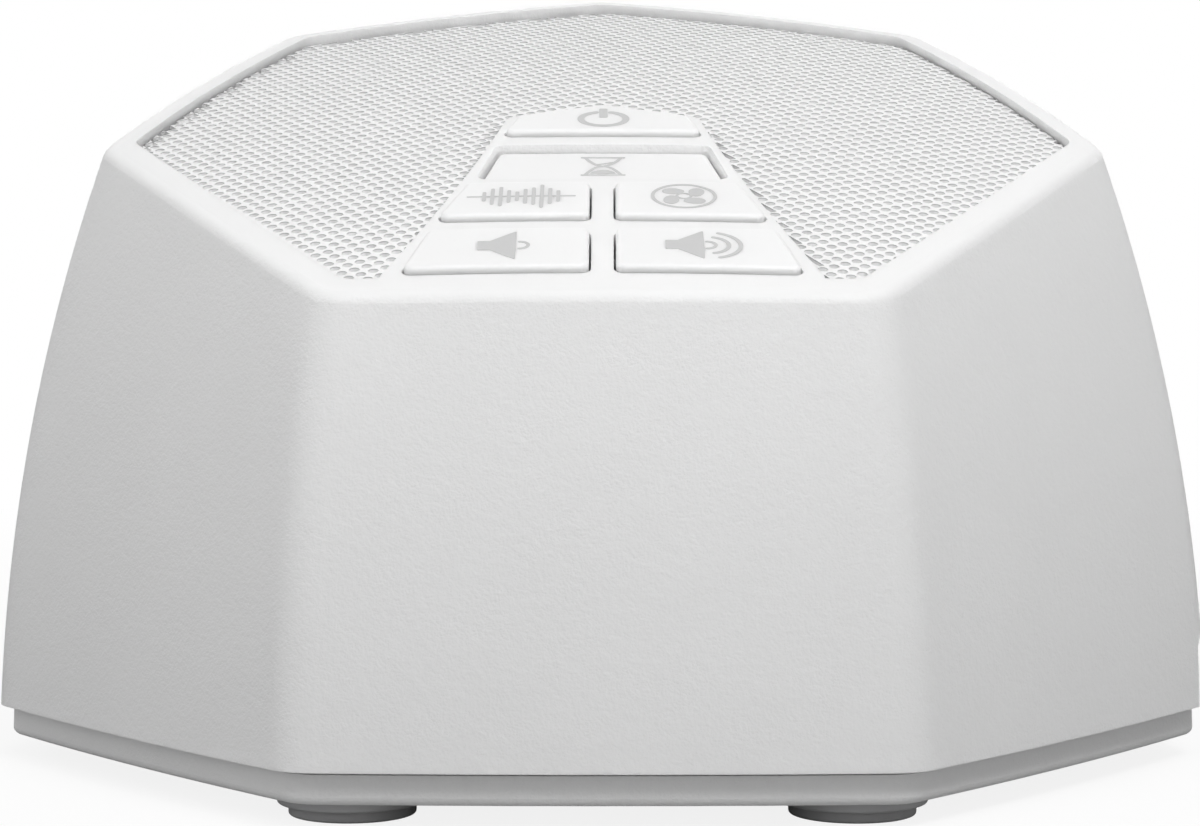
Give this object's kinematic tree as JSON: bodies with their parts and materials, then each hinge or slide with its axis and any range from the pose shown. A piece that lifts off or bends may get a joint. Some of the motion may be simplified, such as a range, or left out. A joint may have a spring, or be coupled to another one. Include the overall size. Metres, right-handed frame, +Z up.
{
  "type": "white noise machine",
  "caption": "Tabletop white noise machine: seven-sided tapered housing, domed sloping top with a round-holed grille, a panel of sprung keys, feet and side ports.",
  "frame": {"origin": "on the surface that the feet stand on, at the centre of the seven-sided plan", "axes": "+Z up, the shortest extent of the object; the flat front side faces -Y, the rear corner points to +Y, the ports are on the +X side"},
  "size_m": [0.1121, 0.1106, 0.0752],
  "materials": {
    "housing_plastic": "fine spark-eroded texture, satin",
    "key_plastic": "smooth satin",
    "grille_metal": "white powder coat",
    "cloth": "fine woven",
    "base_plastic": "fine texture, satin",
    "foot_rubber": "matte",
    "screw_steel": "zinc plated",
    "switch_plastic": "moulded",
    "board": "solder mask",
    "foam": "closed-cell foam",
    "basket_steel": "black passivated",
    "plate_steel": "zinc plated",
    "ferrite": "ground ferrite",
    "copper": "enamelled or tinned copper",
    "spider_cloth": "resin-treated cotton",
    "cone_paper": "coated paper",
    "surround_rubber": "soft rubber",
    "socket_steel": "nickel plated",
    "jack_plastic": "moulded",
    "chip_plastic": "moulded epoxy",
    "capacitor_can": "printed sleeve",
    "ribbon": "laminated",
    "connector_plastic": "moulded nylon",
    "lead_red": "insulation",
    "lead_black": "insulation"
  },
  "bodies": {
    "housing": {"audio_amplifier": "chip_plastic", "base_cover": "base_plastic", "capacitors": "capacitor_can", "foot_front_left": "foot_rubber", "foot_front_right": "foot_rubber", "foot_rear_left": "foot_rubber", "foot_rear_right": "foot_rubber", "grille_cloth": "cloth", "headphone_jack": "jack_plastic", "housing_screw_front_left": "screw_steel", "housing_screw_front_right": "screw_steel", "housing_screw_rear_left": "screw_steel", "housing_screw_rear_right": "screw_steel", "key_board": "board", "key_board_screw_1": "screw_steel", "key_board_screw_2": "screw_steel", "key_board_screw_3": "screw_steel", "key_board_screw_4": "screw_steel", "lead_connector": "connector_plastic", "main_board": "board", "main_board_screws": "screw_steel", "ribbon_cable": "ribbon", "ribbon_connectors": "connector_plastic", "sound_processor": "chip_plastic", "speaker_basket": "basket_steel", "speaker_gasket": "foam", "speaker_grille": "grille_metal", "speaker_lead_black": "lead_black", "speaker_lead_red": "lead_red", "speaker_magnet": "ferrite", "speaker_screw_1": "screw_steel", "speaker_screw_2": "screw_steel", "speaker_screw_3": "screw_steel", "speaker_screw_4": "screw_steel", "speaker_spider": "spider_cloth", "speaker_surround": "surround_rubber", "speaker_terminals": "copper", "speaker_top_plate": "plate_steel", "speaker_yoke": "plate_steel", "switch_fan": "switch_plastic", "switch_power": "switch_plastic", "switch_timer": "switch_plastic", "switch_volume_down": "switch_plastic", "switch_volume_up": "switch_plastic", "switch_white_noise": "switch_plastic", "top_housing": "housing_plastic", "usb_socket": "socket_steel"},
    "speaker_cone": {"speaker_cone": "cone_paper", "speaker_dust_cap": "cone_paper", "speaker_voice_coil": "copper"},
    "key_power": {"key_power": "key_plastic"},
    "key_timer": {"key_timer": "key_plastic"},
    "key_white_noise": {"key_white_noise": "key_plastic"},
    "key_fan": {"key_fan": "key_plastic"},
    "key_volume_down": {"key_volume_down": "key_plastic"},
    "key_volume_up": {"key_volume_up": "key_plastic"}
  },
  "joints": [
    {"name": "key_power_press", "type": "slide", "parent": "housing", "child": "key_power", "axis": [0, 0.3404, -0.9403], "range_m": [0, 0.0003], "stiffness_N_per_m": 4000, "springref_m": -0.00005},
    {"name": "key_timer_hinge", "type": "hinge", "parent": "housing", "child": "key_timer", "pos_m": [0, -0.02265, 0.05134], "axis": [-1, 0, 0], "range_deg": [0, 2.4], "stiffness_Nm_per_rad": 0.12, "springref_deg": -1.15},
    {"name": "key_white_noise_hinge", "type": "hinge", "parent": "housing", "child": "key_white_noise", "pos_m": [0, -0.02671, 0.04964], "axis": [1, 0, 0], "range_deg": [0, 2.4], "stiffness_Nm_per_rad": 0.12, "springref_deg": -1.15},
    {"name": "key_fan_hinge", "type": "hinge", "parent": "housing", "child": "key_fan", "pos_m": [0, -0.02671, 0.04964], "axis": [1, 0, 0], "range_deg": [0, 2.4], "stiffness_Nm_per_rad": 0.12, "springref_deg": -1.15},
    {"name": "key_volume_down_hinge", "type": "hinge", "parent": "housing", "child": "key_volume_down", "pos_m": [0, -0.03659, 0.04535], "axis": [1, 0, 0], "range_deg": [0, 2.4], "stiffness_Nm_per_rad": 0.12, "springref_deg": -1.15},
    {"name": "key_volume_up_hinge", "type": "hinge", "parent": "housing", "child": "key_volume_up", "pos_m": [0, -0.03659, 0.04535], "axis": [1, 0, 0], "range_deg": [0, 2.4], "stiffness_Nm_per_rad": 0.12, "springref_deg": -1.15},
    {"name": "speaker_cone_travel", "type": "slide", "parent": "housing", "child": "speaker_cone", "axis": [0, -0.3404, 0.9403], "range_m": [-0.0004, 0.0004], "stiffness_N_per_m": 1200, "deforming": ["speaker_surround", "speaker_spider"]}
  ]
}
